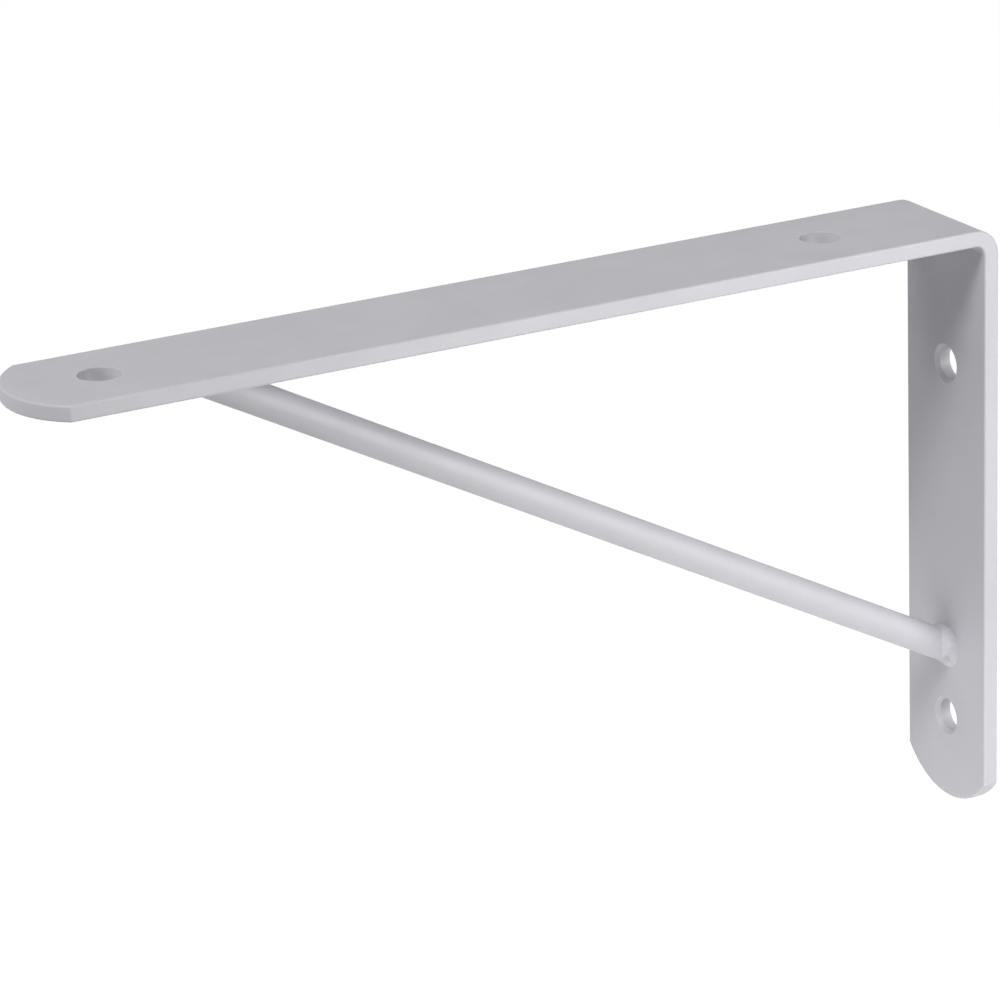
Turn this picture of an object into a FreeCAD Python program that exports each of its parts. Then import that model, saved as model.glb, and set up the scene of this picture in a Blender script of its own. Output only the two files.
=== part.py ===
import FreeCAD, Part
import math
import os

# Gallows shelf bracket
#
# One flat strip is folded square into an arm, which carries the shelf, and a leg, which lies on
# the wall. A round bar rakes between them. Its ends are mitred to lie flat on the strip, and a
# fillet weld runs round each of them.
#
# X runs out from the wall, Y across the strip and Z up. The origin is the middle of the two wall
# screw holes, on the face that lies on the wall. Sizes are in millimetres, angles in degrees.

# Folded strip
strip_width = 35.0
strip_thickness = 4.0
bend_inner_radius = 2.5
strip_edge_radius = 0.6
crease_radius = 0.9
arm_reach = 250.0
leg_drop = 155.0
end_bow = 8.5

# Screw holes: plain ones in the arm for the shelf, countersunk ones in the leg for the wall
shelf_hole_diameter = 10.0
wall_hole_diameter = 8.0
countersink_diameter = 10.0
countersink_angle = 90.0
hole_edge_break = 0.15
arm_end_hole_inset = 22.5
shelf_hole_spacing = 187.5
leg_end_hole_inset = 22.0
wall_hole_spacing = 94.5

# Brace bar, and where its axis meets the strip: this far short of the arm's tip and the leg's end
bar_diameter = 8.0
bar_tip_inset = 44.0
bar_end_inset = 41.0

# Fillet welds
weld_leg_on_strip = 1.7
weld_leg_on_bar = 3.8
weld_bulge = 0.35
weld_edge = 0.12
weld_levels = 5

# How far a cutting tool stands clear of what it cuts
tool_overrun = 1.0

# Places that follow from the sizes
shelf_face_z = leg_drop - leg_end_hole_inset - wall_hole_spacing / 2
arm_under_z = shelf_face_z - strip_thickness
leg_end_z = shelf_face_z - leg_drop
bend_outer_radius = bend_inner_radius + strip_thickness
bar_radius = bar_diameter / 2
arm_foot = FreeCAD.Vector(arm_reach - bar_tip_inset, 0, arm_under_z)
leg_foot = FreeCAD.Vector(strip_thickness, 0, leg_end_z + bar_end_inset)
bar_direction = (leg_foot - arm_foot).normalize()

# A limb's own frame starts at its end, on the inner face: X points past the end and Z points
# through the thickness to the outer face. The arm's frame stands square with the bracket's, and
# half a turn about the mitre line of the fold brings it onto the leg.
fold_mitre = FreeCAD.Vector(1, 0, -1)
arm_frame = FreeCAD.Placement(FreeCAD.Vector(arm_reach, 0, arm_under_z), FreeCAD.Rotation())
leg_frame = FreeCAD.Placement(FreeCAD.Vector(strip_thickness, 0, leg_end_z), FreeCAD.Rotation(fold_mitre, 180))


def bend_point(radius, angle):
    """A point on the fold, at this radius from its centre and this angle above the wall's side."""
    turn = math.radians(angle)
    centre_z = shelf_face_z - bend_outer_radius
    return FreeCAD.Vector(bend_outer_radius - radius * math.cos(turn), 0, centre_z + radius * math.sin(turn))


def bend_arc(radius):
    """A quarter turn of the fold, from the leg to the arm."""
    return Part.Arc(bend_point(radius, 0), bend_point(radius, 45), bend_point(radius, 90)).toShape()


def folded_blank():
    """The strip folded square, with square ends: its edge-on outline drawn out across the width."""
    outer = bend_arc(bend_outer_radius)
    inner = bend_arc(bend_inner_radius)
    leg_outer = FreeCAD.Vector(0, 0, leg_end_z)
    leg_inner = FreeCAD.Vector(strip_thickness, 0, leg_end_z)
    arm_outer = FreeCAD.Vector(arm_reach, 0, shelf_face_z)
    arm_inner = FreeCAD.Vector(arm_reach, 0, arm_under_z)
    outline = Part.Wire([
        Part.makeLine(leg_outer, bend_point(bend_outer_radius, 0)),
        outer,
        Part.makeLine(bend_point(bend_outer_radius, 90), arm_outer),
        Part.makeLine(arm_outer, arm_inner),
        Part.makeLine(arm_inner, bend_point(bend_inner_radius, 90)),
        inner,
        Part.makeLine(bend_point(bend_inner_radius, 0), leg_inner),
        Part.makeLine(leg_inner, leg_outer),
    ])
    edge_on = Part.Face(outline)
    edge_on.translate(FreeCAD.Vector(0, -strip_width / 2, 0))
    return edge_on.extrude(FreeCAD.Vector(0, strip_width, 0))


def crop_radius():
    """The radius of an end's arc, which bows out by end_bow across the strip's width."""
    return (strip_width ** 2 / 4 + end_bow ** 2) / (2 * end_bow)


def end_crop(limb_frame):
    """The waste that the cropping die takes off a limb's two corners, outside the end's arc."""
    radius = crop_radius()
    height = strip_thickness + 2 * tool_overrun
    width = strip_width + 2 * tool_overrun
    block = Part.makeBox(end_bow + tool_overrun, width, height, FreeCAD.Vector(-end_bow, -width / 2, -tool_overrun))
    kept = Part.makeCylinder(radius, height, FreeCAD.Vector(-radius, 0, -tool_overrun))
    waste = block.cut(kept)
    waste.Placement = limb_frame
    return waste


def is_rim(face):
    """True for the strip's narrow faces: its flat sides and the arcs that close its ends."""
    along_width = abs(face.Surface.Axis.y) > 0.5
    return along_width if isinstance(face.Surface, Part.Plane) else not along_width


def rim_edges(strip, owners):
    """The edges that belong to this many of the strip's narrow faces: two where an end's arc meets
    a side in a crease, and one where a narrow face meets a wide one."""
    rims = [face for face in strip.Faces if is_rim(face)]
    chosen = []
    for edge in strip.Edges:
        sharing = [face for face in rims if any(edge.isSame(other) for other in face.Edges)]
        if len(sharing) == owners:
            chosen.append(edge)
    return chosen


def screw_hole(limb_frame, inset, hole_diameter, mouth_diameter):
    """The tool for one hole. It opens to its mouth on the inner face, at the countersink's angle,
    and its edge is broken on the outer face."""
    hole_radius = hole_diameter / 2
    mouth_radius = mouth_diameter / 2
    flare = math.tan(math.radians(countersink_angle / 2))
    mouth_depth = (mouth_radius - hole_radius) / flare
    profile = Part.makePolygon([
        FreeCAD.Vector(0, 0, -tool_overrun),
        FreeCAD.Vector(mouth_radius + tool_overrun * flare, 0, -tool_overrun),
        FreeCAD.Vector(hole_radius, 0, mouth_depth),
        FreeCAD.Vector(hole_radius, 0, strip_thickness - hole_edge_break),
        FreeCAD.Vector(hole_radius + hole_edge_break + tool_overrun, 0, strip_thickness + tool_overrun),
        FreeCAD.Vector(0, 0, strip_thickness + tool_overrun),
        FreeCAD.Vector(0, 0, -tool_overrun),
    ])
    tool = Part.Face(profile).revolve(FreeCAD.Vector(0, 0, 0), FreeCAD.Vector(0, 0, 1), 360)
    place = FreeCAD.Placement(FreeCAD.Vector(-inset, 0, 0), FreeCAD.Rotation())
    tool.Placement = limb_frame.multiply(place)
    return tool


def folded_strip():
    """The folded strip: blank, cropped ends, softened rims, then the four screw holes."""
    strip = folded_blank()
    strip = strip.cut(end_crop(arm_frame))
    strip = strip.cut(end_crop(leg_frame))
    strip = strip.makeFillet(crease_radius, rim_edges(strip, 2))
    strip = strip.makeFillet(strip_edge_radius, rim_edges(strip, 1))
    broken_mouth = shelf_hole_diameter + 2 * hole_edge_break
    for inset in (arm_end_hole_inset, arm_end_hole_inset + shelf_hole_spacing):
        strip = strip.cut(screw_hole(arm_frame, inset, shelf_hole_diameter, broken_mouth))
    for inset in (leg_end_hole_inset, leg_end_hole_inset + wall_hole_spacing):
        strip = strip.cut(screw_hole(leg_frame, inset, wall_hole_diameter, countersink_diameter))
    return strip


def uncut_bar():
    """The bar before its ends are mitred, long enough to pass right through the strip."""
    overrun = bar_direction * arm_reach
    span = leg_foot - arm_foot + overrun * 2
    return Part.makeCylinder(bar_radius, span.Length, arm_foot - overrun, bar_direction)


def brace_bar():
    """The raking bar, mitred flat to the arm's underside and to the leg's inner face."""
    reach = arm_reach - strip_thickness
    drop = leg_drop - strip_thickness
    corner = FreeCAD.Vector(strip_thickness, -bar_diameter, leg_end_z)
    inside_fold = Part.makeBox(reach, 2 * bar_diameter, drop, corner)
    return uncut_bar().common(inside_fold)


def oval(centre, rake_arm, width_arm):
    """A unit circle stretched onto these two arms, as a closed wire."""
    normal = rake_arm.cross(width_arm).normalize()
    stretch = FreeCAD.Matrix(
        rake_arm.x, width_arm.x, normal.x, centre.x,
        rake_arm.y, width_arm.y, normal.y, centre.y,
        rake_arm.z, width_arm.z, normal.z, centre.z,
        0, 0, 0, 1)
    return Part.Wire(Part.makeCircle(1).transformGeometry(stretch).Edges)


def fillet_weld(foot, normal, direction):
    """The bead round one end of the bar, with a short leg on the strip and a long one up the bar.
    Level by level above the strip its outline stays centred on the bar's axis and draws in until
    it meets the bar. Along the rake it meets the bar lower than on the flanks, because the leg
    up the bar leans there. So the bead has the same two legs in the sharp heel, on the flanks
    and on the open toe."""
    sine = direction.dot(normal)
    rake = (direction - normal * sine).normalize()
    across = normal.cross(rake)
    outlines = []
    for level in range(weld_levels):
        share = level / (weld_levels - 1)
        bulge = weld_bulge * math.sin(math.pi * share) + weld_edge
        half_rake = bar_radius / sine + weld_leg_on_strip * (1 - share / sine) + bulge
        half_width = bar_radius + weld_leg_on_strip * (1 - share) + bulge
        centre = foot + direction * (weld_leg_on_bar * share / sine)
        outlines.append(oval(centre, rake * half_rake, across * half_width))
    return Part.makeLoft(outlines, True, False).cut(uncut_bar())


def arm_weld():
    """The bead under the arm."""
    return fillet_weld(arm_foot, FreeCAD.Vector(0, 0, -1), bar_direction)


def leg_weld():
    """The bead on the leg's inner face."""
    return fillet_weld(leg_foot, FreeCAD.Vector(1, 0, 0), bar_direction * -1)


pieces = {
    "folded_strip": folded_strip,
    "brace_bar": brace_bar,
    "arm_weld": arm_weld,
    "leg_weld": leg_weld,
}

os.makedirs("parts", exist_ok=True)
for name, make in pieces.items():
    shape = make()
    shape.exportStep(os.path.join("parts", name + ".step"))
    print(name, len(shape.Solids), "solid", round(shape.Volume, 1), "mm3")
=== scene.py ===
# %% [markdown]
# # A gallows shelf bracket in satin silver-grey paint
#
# The bracket is a flat steel strip folded square, a round bar raking across the corner, and a
# weld bead at each end of the bar. All of it is painted in one colour after welding.
#
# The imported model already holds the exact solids, so this lesson doesn't draw the strip and the
# bar again. It takes a photograph's camera, gives each piece the finish it has in the hand, lays
# two rippled weld beads over the smooth ones, and lights the whole softly on a pale floor.

# %% Load the bracket
import math

import bmesh
import bpy
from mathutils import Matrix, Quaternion, Vector, noise


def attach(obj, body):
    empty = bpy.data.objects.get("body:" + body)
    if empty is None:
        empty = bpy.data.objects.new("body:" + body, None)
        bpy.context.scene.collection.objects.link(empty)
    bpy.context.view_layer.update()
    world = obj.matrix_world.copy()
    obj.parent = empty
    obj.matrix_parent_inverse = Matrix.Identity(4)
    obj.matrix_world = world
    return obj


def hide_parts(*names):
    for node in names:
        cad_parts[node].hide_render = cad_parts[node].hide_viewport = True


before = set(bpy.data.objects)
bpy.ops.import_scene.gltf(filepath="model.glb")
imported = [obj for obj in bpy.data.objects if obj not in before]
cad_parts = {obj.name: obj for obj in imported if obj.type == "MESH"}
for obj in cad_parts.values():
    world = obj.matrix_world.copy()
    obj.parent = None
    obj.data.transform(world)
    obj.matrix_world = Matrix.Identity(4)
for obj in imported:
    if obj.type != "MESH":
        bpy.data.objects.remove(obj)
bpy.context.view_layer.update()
mm = 0.001
for node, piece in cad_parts.items():
    print(node, len(piece.data.polygons), "faces")

# %% [markdown]
# ## The camera
#
# A catalogue photograph of a small part is taken with a long lens from about a metre away, so
# that the far end of the arm looks almost as large as the near one. The camera stands out from
# the wall on the near side, looks down on the arm, and leans a little to one side.
#
# An Empty and a Track To constraint could aim it. Three plain numbers are easier to follow: where
# the camera stands, the point it looks at, and its lean about that line.

# %% Stand the camera
camera_place = Vector((0.54648, 0.82561, 0.36892))
camera_aim = Vector((0.12916, 0.0, 0.03628))
camera_lean = math.radians(-2.292)

lens = bpy.data.cameras.new("catalogue_lens")
lens.sensor_width = 36.0
lens.lens = 149.93
camera = bpy.data.objects.new("catalogue_camera", lens)
bpy.context.scene.collection.objects.link(camera)
line_of_sight = camera_aim - camera_place
camera.rotation_mode = "QUATERNION"
upright = line_of_sight.to_track_quat("-Z", "Y")
camera.rotation_quaternion = upright @ Quaternion((0, 0, 1), camera_lean)
camera.location = camera_place
bpy.context.scene.camera = camera
print("camera", round(line_of_sight.length, 3), "m from the bracket")

# %% [markdown]
# ## Wiring a paint
#
# Powder paint is dusted on and baked. It isn't flat: it dries to a fine orange peel, its tone and
# its gloss drift a little from place to place, and metal flakes glint in it. Each of these is a
# noise of its own size that feeds one input of the shader. The flakes are real grain, but their
# glint is painted into the colour as a painted highlight: lighter flakes at random.
#
# An image texture could hold them, but noise has no seams and no limit when one looks closer. The
# helpers below keep the wiring short. Coordinates are the object's own, in metres, so a scale of
# 1000 repeats about once a millimetre.

# %% Helpers for the wiring
def new_finish(name):
    """A material with its shader, and the object's own coordinates as a socket."""
    finish = bpy.data.materials.new(name)
    finish.use_nodes = True
    nodes = finish.node_tree.nodes
    place = nodes.new("ShaderNodeTexCoord").outputs["Object"]
    return finish, nodes, finish.node_tree.links, nodes["Principled BSDF"], place


def stretched(nodes, links, place, squeeze):
    """The coordinates, squeezed along each axis by its own factor."""
    mapping = nodes.new("ShaderNodeMapping")
    mapping.inputs["Scale"].default_value = squeeze
    links.new(place, mapping.inputs["Vector"])
    return mapping.outputs["Vector"]


def cloud(nodes, links, place, scale, detail=2.0, roughness=0.5):
    """A noise that runs from 0 to 1, of this many repeats a metre."""
    texture = nodes.new("ShaderNodeTexNoise")
    texture.inputs["Scale"].default_value = scale
    texture.inputs["Detail"].default_value = detail
    texture.inputs["Roughness"].default_value = roughness
    links.new(place, texture.inputs["Vector"])
    return texture.outputs["Fac"]


def flakes(nodes, links, place, scale):
    """A random grey for each metal flake."""
    texture = nodes.new("ShaderNodeTexVoronoi")
    texture.inputs["Scale"].default_value = scale
    links.new(place, texture.inputs["Vector"])
    grey = nodes.new("ShaderNodeSeparateColor")
    links.new(texture.outputs["Color"], grey.inputs["Color"])
    return grey.outputs["Red"]


def spread(nodes, links, value, low, high, first=0.3, last=0.7):
    """Stretches a noise from its usual range onto low to high."""
    fit = nodes.new("ShaderNodeMapRange")
    fit.inputs["From Min"].default_value = first
    fit.inputs["From Max"].default_value = last
    fit.inputs["To Min"].default_value = low
    fit.inputs["To Max"].default_value = high
    links.new(value, fit.inputs["Value"])
    return fit.outputs["Result"]


def blend_colours(nodes, links, share, first, second):
    """Mixes two colours, or two colour sockets, by a share from 0 to 1."""
    mix = nodes.new("ShaderNodeMix")
    mix.data_type = "RGBA"
    links.new(share, mix.inputs[0])
    for socket, colour in ((mix.inputs[6], first), (mix.inputs[7], second)):
        if isinstance(colour, bpy.types.NodeSocket):
            links.new(colour, socket)
        else:
            socket.default_value = (*colour, 1.0)
    return mix.outputs[2]


def raised(nodes, links, height, depth, strength, under=None):
    """A bump of this depth in metres, laid over another bump."""
    bump = nodes.new("ShaderNodeBump")
    bump.inputs["Distance"].default_value = depth
    bump.inputs["Strength"].default_value = strength
    links.new(height, bump.inputs["Height"])
    if under is not None:
        links.new(under, bump.inputs["Normal"])
    return bump.outputs["Normal"]


# %% [markdown]
# ## Silver-grey paint
#
# All three pieces wear the same paint, and the metal under it differs. Rolled strip carries faint
# lines along its length, drawn bar carries finer ones, and a weld has an even grain instead. So
# one function mixes the paint, and takes the direction and the depth of the lines.
#
# A metallic shader would mirror the room too clearly. Silver paint is mostly a matt grey with a
# little metal in it, so the shader stays mostly diffuse and the flakes only nudge its colour.
# Their glint is a painted highlight, a lighter colour on flakes picked at random.

# %% Colours and unevenness of the paint
paint_light = (0.574, 0.567, 0.605)
paint_dark = (0.535, 0.529, 0.565)
# A lighter colour painted on the flakes in place of their glint: a painted highlight
painted_flake_glint = (0.66, 0.654, 0.69)

# Repeats a metre
tone_repeats = 28.0
flake_repeats = 7000.0
gloss_repeats = 90.0
peel_repeats = 1500.0

# The share of the flakes that stay dull, and how far the brightest one takes on the painted glint
# colour
dull_flakes = 0.7
painted_glint_share = 0.35

# Roughness of the glossiest and of the dullest places
glossiest = 0.42
dullest = 0.54

# How strongly each relief shows
line_strength = 0.5
peel_strength = 0.35
print("the paint drifts over about", round(1000 / tone_repeats), "mm")


# %% Mix the paint
def silver_paint(name, line_squeeze, line_depth, peel_depth):
    """Satin silver-grey paint over metal whose rolling or drawing lines still show faintly."""
    finish, nodes, links, shader, place = new_finish(name)
    drift = spread(nodes, links, cloud(nodes, links, place, tone_repeats, 3.0), 0.0, 1.0)
    tone = blend_colours(nodes, links, drift, paint_dark, paint_light)
    # Flakes lightened at random towards the painted glint colour, a painted highlight
    grains = flakes(nodes, links, place, flake_repeats)
    painted_glint = spread(nodes, links, grains, 0.0, painted_glint_share, first=dull_flakes, last=1.0)
    links.new(blend_colours(nodes, links, painted_glint, tone, painted_flake_glint), shader.inputs["Base Color"])
    gloss = cloud(nodes, links, place, gloss_repeats, 4.0)
    links.new(spread(nodes, links, gloss, glossiest, dullest), shader.inputs["Roughness"])
    along = stretched(nodes, links, place, line_squeeze)
    grooves = cloud(nodes, links, along, 1.0, 3.0, 0.6)
    lines = raised(nodes, links, grooves, line_depth, line_strength)
    dimples = cloud(nodes, links, place, peel_repeats, 1.0)
    peel = raised(nodes, links, dimples, peel_depth, peel_strength, lines)
    links.new(peel, shader.inputs["Normal"])
    shader.inputs["Metallic"].default_value = 0.0
    shader.inputs["IOR"].default_value = 1.5
    print("mixed", name)
    return finish


# Repeats a metre along X, Y and Z: few along the lines, many across them
rolled_lines = (30.0, 900.0, 30.0)
drawn_lines = (40.0, 1100.0, 600.0)
even_grain = (500.0, 500.0, 500.0)
strip_finish = silver_paint("strip_paint_rolled", rolled_lines, 0.03 * mm, 0.04 * mm)
bar_finish = silver_paint("bar_paint_drawn", drawn_lines, 0.02 * mm, 0.04 * mm)
weld_finish = silver_paint("weld_paint_rippled", even_grain, 0.03 * mm, 0.05 * mm)

# %% Paint the strip and the bar
for node, finish in (("folded_strip", strip_finish), ("brace_bar", bar_finish)):
    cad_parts[node].data.materials.clear()
    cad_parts[node].data.materials.append(finish)
    print(node, "wears", finish.name)

# %% [markdown]
# ## Weld beads
#
# The welder runs a small bead round each end of the bar. It freezes in overlapping scales, and its
# edges wander a little. It is thin in the sharp heel, which the torch hardly reaches, and on the
# open toe, where the metal sags away. It piles up before the end, and it leaves a crater where the
# torch lifts off. Paint rounds the scales off, so they are only a tenth of a millimetre high.
#
# A bump texture would leave the outline smooth, and the outline is what the eye meets first. So
# the bead is a mesh: a ring of sections round the bar's foot, each one square to the joint. A
# section starts on the strip, a short leg out from the joint, swells, and ends on the bar, a
# longer leg up from the joint.

# %% Sizes of the beads
bar_radius = 4.0 * mm
leg_on_strip = 1.7 * mm
leg_on_bar = 3.8 * mm
scale_pitch = 1.25 * mm
scale_height = 0.1 * mm
scale_spread = 0.6
sections_round = 480
points_across = 20

# How far the bead's edges and its hidden back go into the metal, so that no gap shows
edge_sunk = 0.04 * mm
back_in_bar = 0.4 * mm
back_at_joint = 0.5 * mm
joint_in_strip = 0.25 * mm
back_in_strip = 0.2 * mm

# Where the bar's axis meets the arm and the leg
arm_foot = Vector((0.206, 0.0, 0.08175))
leg_foot = Vector((0.004, 0.0, -0.02825))
up_the_bar = (arm_foot - leg_foot).normalized()
print("the bar rises", round(math.degrees(math.asin(up_the_bar.z)), 1), "degrees")


# %% How welding varies along the joint
wander_radius = 1.7
wander_gain = 1.6
front_bow = 0.9
front_lean = 0.7


def stray(turn, seed):
    """A slow random wander, between about -1 and 1. It reads a noise along a circle, so it is the
    same again after a full turn."""
    place = Vector((wander_radius * math.cos(turn), wander_radius * math.sin(turn), seed))
    return wander_gain * noise.noise(place)


def hump(turn, centre, width):
    """1 at the centre and 0 away from it."""
    away = (turn - centre + math.pi) % (2.0 * math.pi) - math.pi
    return math.exp(-(away / width) ** 2)


def frozen_scale(count, share):
    """The height of the overlapping scales. Their fronts bow across the bead, and they are
    steeper on one side than on the other."""
    front = count + front_bow * (2.0 * share - 1.0) ** 2
    return 0.5 - 0.5 * math.cos(2.0 * math.pi * (front % 1.0) ** front_lean)


# %% How far the bead's form varies
# Turns about the bar, in radians
sharp_heel = 0.0
open_toe = math.pi
heel_width = 0.5
toe_width = 0.9
pile_from_stop = 1.15
pile_width = 0.45
crater_width = 0.4

# How much of the toe's thinning the heel gets
heel_share = 0.6

# The reach, as a share of the legs' lengths
usual_reach = 0.97
reach_wander = 0.04
reach_piled = 0.05
reach_starved = 0.4

# The swell, in millimetres. It wanders on its own, so it reads the noise at another seed.
usual_swell = 0.22
swell_wander = 0.06
swell_piled = 0.12
swell_starved = 0.1
next_seed = 5.0


def bead_form(turn, stop, crater_share, seed):
    """The legs' reach, the swell and the crater's depth at this turn."""
    pile = hump(turn, stop + pile_from_stop, pile_width)
    starved = hump(turn, open_toe, toe_width) + heel_share * hump(turn, sharp_heel, heel_width)
    reach = usual_reach + reach_wander * stray(turn, seed)
    reach += reach_piled * pile - reach_starved * starved
    swell = usual_swell + swell_wander * stray(turn, seed + next_seed)
    swell += swell_piled * pile - swell_starved * starved
    return reach, swell * mm, crater_share * hump(turn, stop, crater_width)


# %% The joint and its sections
def joint_at(foot, normal, along, turn):
    """A point of the bar's foot, with the ways out over the strip and up the bar, square to the
    joint, and the way out of the bar."""
    sine = along.dot(normal)
    rake = (along - normal * sine).normalized()
    sideways = normal.cross(rake)
    offset = rake * (bar_radius / sine * math.cos(turn)) + sideways * (bar_radius * math.sin(turn))
    joint_line = (sideways * math.cos(turn) - rake * (math.sin(turn) / sine)).normalized()
    over_strip = joint_line.cross(normal)
    bar_out = (offset - along * offset.dot(along)).normalized()
    up_bar = bar_out.cross(joint_line)
    if over_strip.dot(offset) < 0.0:
        over_strip.negate()
    if up_bar.dot(along) < 0.0:
        up_bar.negate()
    return foot + offset, over_strip, up_bar, bar_out


def onto_bar(point, foot, along):
    """The point of the bar's surface nearest to this one, and the way out of the bar there."""
    centre = foot + along * (point - foot).dot(along)
    out = (point - centre).normalized()
    return centre + out * bar_radius, out


def bead_section(joint, foot, normal, along, reach, swell, crater, count):
    """The points of one section: over the bead from strip to bar, then back inside the metal.
    Its legs are stretched by the reach. The crater is a share of the throat, which is the bead's
    thickness over the joint."""
    root, over_strip, up_bar, bar_out = joint
    on_strip = root + over_strip * leg_on_strip * reach
    on_bar, out_there = onto_bar(root + up_bar * leg_on_bar * reach, foot, along)
    middle = (on_strip + on_bar) / 2.0 - root
    chord = (on_bar - on_strip).normalized()
    throat = middle - chord * middle.dot(chord)
    outward = throat.normalized()
    section = []
    for point in range(points_across):
        share = point / (points_across - 1)
        arch = math.sin(math.pi * share)
        scales = scale_height * arch ** scale_spread * frozen_scale(count, share)
        lift = swell * arch - crater * throat.length * arch ** 2 + scales
        section.append(on_strip.lerp(on_bar, share) + outward * (lift - edge_sunk))
    section.append(on_bar - out_there * back_in_bar)
    section.append(root - bar_out * back_at_joint - normal * joint_in_strip)
    section.append(on_strip - normal * back_in_strip)
    return section


# %% Sections all round the joint
def bead_sections(foot, normal, along, stop, crater_share, seed):
    """The sections of the whole bead, with the joint's length and the number of scales on it."""
    turns = [stop + 2.0 * math.pi * step / sections_round for step in range(sections_round)]
    joints = [joint_at(foot, normal, along, turn) for turn in turns]
    strides = [(joints[step][0] - joints[step - 1][0]).length for step in range(sections_round)]
    length = sum(strides)
    scales = round(length / scale_pitch)
    run = 0.0
    sections = []
    for step, turn in enumerate(turns):
        form = bead_form(turn, stop, crater_share, seed)
        run += strides[step] if step else 0.0
        count = run / length * scales
        sections.append(bead_section(joints[step], foot, normal, along, *form, count))
    return sections, length, scales


# %% Skin the sections
def skinned(name, sections):
    """A closed, smooth mesh over a ring of sections."""
    bead = bmesh.new()
    rings = [[bead.verts.new(point) for point in section] for section in sections]
    for step in range(len(rings)):
        ring, following = rings[step], rings[(step + 1) % len(rings)]
        for point in range(len(ring)):
            after = (point + 1) % len(ring)
            bead.faces.new((ring[point], following[point], following[after], ring[after]))
    bmesh.ops.recalc_face_normals(bead, faces=bead.faces)
    for face in bead.faces:
        face.smooth = True
    mesh = bpy.data.meshes.new(name)
    bead.to_mesh(mesh)
    bead.free()
    return mesh


# %% Lay a bead
def lay_bead(name, foot, normal, along, stop, crater_share, seed):
    """A closed ring of weld round the bar's foot. The welder stopped at this turn, and the crater
    there goes this share of the way down to the joint."""
    sections, length, scales = bead_sections(foot, normal, along, stop, crater_share, seed)
    mesh = skinned(name, sections)
    mesh.materials.append(weld_finish)
    piece = bpy.data.objects.new(name, mesh)
    bpy.context.scene.collection.objects.link(piece)
    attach(piece, "root")
    print(name, round(length / mm, 1), "mm round,", scales, "scales")
    return piece


out_of_leg = Vector((1, 0, 0))
out_of_arm = Vector((0, 0, -1))
leg_stop = math.radians(236)
arm_stop = math.radians(110)
leg_bead = lay_bead("leg_bead", leg_foot, out_of_leg, up_the_bar, leg_stop, 0.9, 3.1)
arm_bead = lay_bead("arm_bead", arm_foot, out_of_arm, -up_the_bar, arm_stop, 0.5, 8.4)
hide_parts("leg_weld")
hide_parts("arm_weld")

# %% [markdown]
# ## Floor and background
#
# The photograph is white behind the bracket, with no shadow in the frame, because the bracket is
# held well above the paper. The floor here lies that far down and keeps its soft shadow there.
#
# More lamps would whiten it and bleach the bracket too. Instead the floor and the world look
# white only to the camera and to reflections: Light Path tells those rays from the rays that
# carry light to the bracket.

# %% Rays that see the background
def seen_directly(nodes, links):
    """1 for rays from the camera, and for those that a gloss or a glass sends on."""
    path = nodes.new("ShaderNodeLightPath")
    total = path.outputs["Is Camera Ray"]
    for ray in ("Is Glossy Ray", "Is Transmission Ray"):
        either = nodes.new("ShaderNodeMath")
        either.operation = "MAXIMUM"
        links.new(total, either.inputs[0])
        links.new(path.outputs[ray], either.inputs[1])
        total = either.outputs[0]
    return total


# %% Pale floor
floor_height = -0.36
floor_half = 6.0
paper_grey = 0.5
glow_level = 0.94
paper = bpy.data.materials.new("pale_paper")
paper.use_nodes = True
paper_nodes, paper_links = paper.node_tree.nodes, paper.node_tree.links
paper_shader = paper_nodes["Principled BSDF"]
paper_shader.inputs["Base Color"].default_value = (paper_grey, paper_grey, paper_grey, 1.0)
paper_shader.inputs["Roughness"].default_value = 0.9
paper_shader.inputs["Specular IOR Level"].default_value = 0.1
paper_shader.inputs["Emission Color"].default_value = (1.0, 1.0, 1.0, 1.0)
glow = paper_nodes.new("ShaderNodeMath")
glow.operation = "MULTIPLY"
glow.inputs[1].default_value = glow_level
paper_links.new(seen_directly(paper_nodes, paper_links), glow.inputs[0])
paper_links.new(glow.outputs[0], paper_shader.inputs["Emission Strength"])

signs = ((-1, -1), (1, -1), (1, 1), (-1, 1))
corners = [(x * floor_half, y * floor_half, floor_height) for x, y in signs]
sheet = bpy.data.meshes.new("floor")
sheet.from_pydata(corners, [], [(0, 1, 2, 3)])
sheet.materials.append(paper)
floor = bpy.data.objects.new("floor", sheet)
bpy.context.scene.collection.objects.link(floor)

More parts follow.
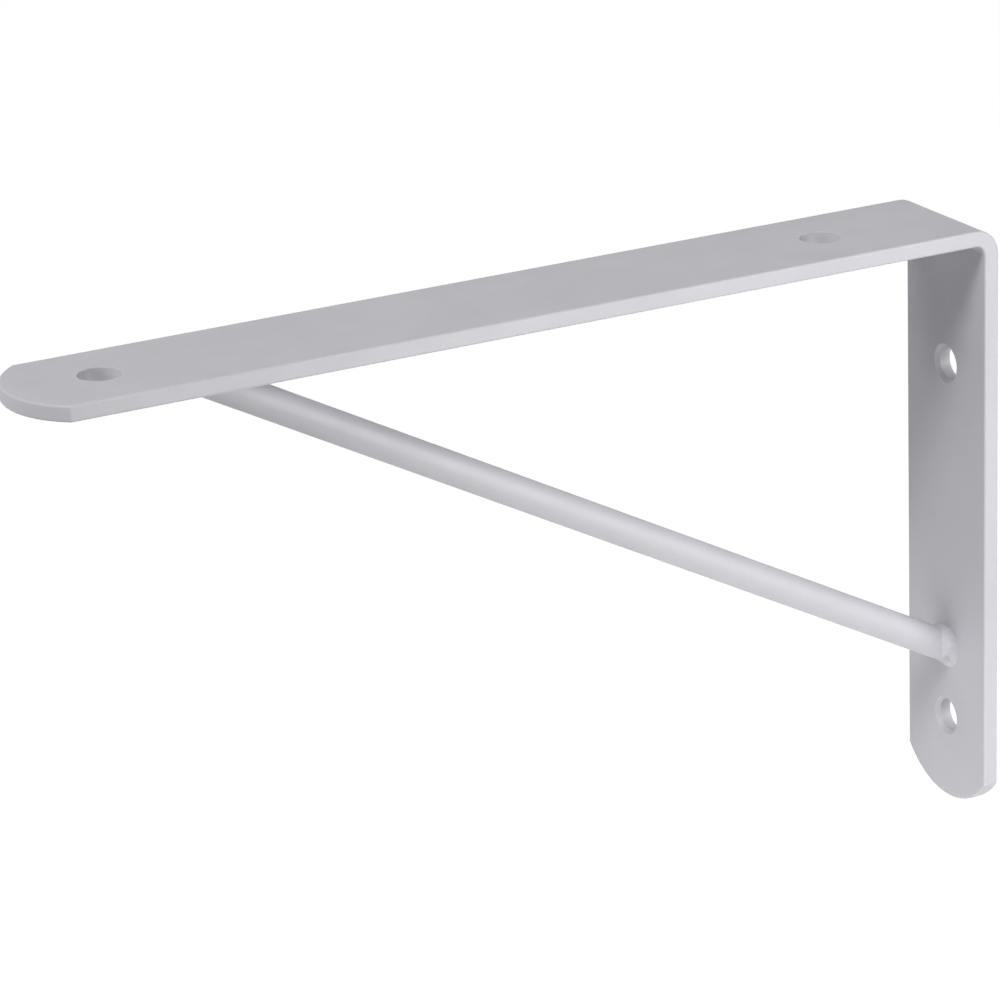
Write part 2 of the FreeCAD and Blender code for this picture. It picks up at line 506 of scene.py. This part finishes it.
# %% White world
sky_level = 0.03
studio = bpy.data.worlds.new("studio")
studio.use_nodes = True
bpy.context.scene.world = studio
studio_nodes, studio_links = studio.node_tree.nodes, studio.node_tree.links
ambient = studio_nodes["Background"]
ambient.inputs["Color"].default_value = (1.0, 1.0, 1.0, 1.0)
level = studio_nodes.new("ShaderNodeMapRange")
level.inputs["To Min"].default_value = sky_level
level.inputs["To Max"].default_value = 1.0
studio_links.new(seen_directly(studio_nodes, studio_links), level.inputs["Value"])
studio_links.new(level.outputs["Result"], ambient.inputs["Strength"])
print("the world lights the bracket at", sky_level, "and shows at 1")

# %% [markdown]
# ## Lamps
#
# The photograph's faces show where its light comes from. The strip's near side is the lightest, so
# the main light comes from the side. The arm's top is darker and even, and so is the face at its
# tip, so less comes from above and from the front. The leg's inner face darkens steadily towards
# the fold, where the arm shades it from the lamps above, and a white card under the bracket
# lightens its foot.
#
# An area lamp is a softbox: the wider it is, the softer its shadow. Its power falls off with
# distance, so each lamp states how bright it makes a white card at the point it aims at.

# %% Hang the lamps
bracket_middle = Vector((0.11, 0.0, 0.01))
leg_middle = Vector((0.03, 0.0, 0.0))


def softbox(name, place, aim, size, brightness):
    """A square area lamp. The brightness is that of a white card held at the point it aims at."""
    way = aim - place
    lamp = bpy.data.lights.new(name, "AREA")
    lamp.shape = "SQUARE"
    lamp.size = size
    lamp.energy = brightness * math.pi ** 2 * way.length_squared
    holder = bpy.data.objects.new(name, lamp)
    holder.location = place
    holder.rotation_mode = "QUATERNION"
    holder.rotation_quaternion = way.to_track_quat("-Z", "Y")
    holder.visible_camera = False
    bpy.context.scene.collection.objects.link(holder)
    print(name, "stands", round(way.length, 2), "m away")


# Name, place, the point it aims at, width of the square, brightness
softboxes = (
    ("side_softbox", (-0.3, 0.5, 0.2), leg_middle, 0.3, 0.48),
    ("level_side_softbox", (0.0, 0.4, 0.0), leg_middle, 0.2, 0.53),
    ("high_front_softbox", (0.945, 0.482, 1.159), bracket_middle, 0.4, 0.386),
    ("low_front_softbox", (1.501, 0.0, 0.572), bracket_middle, 0.6, 0.3),
    ("overhead_softbox", (0.11, -0.259, 0.976), bracket_middle, 0.6, 0.173),
    ("card_below", (0.08, 0.0, -0.15), leg_middle, 0.2, 0.486),
)
for name, place, aim, size, brightness in softboxes:
    softbox(name, Vector(place), aim, size, brightness)
bpy.context.scene.view_settings.view_transform = "Standard"
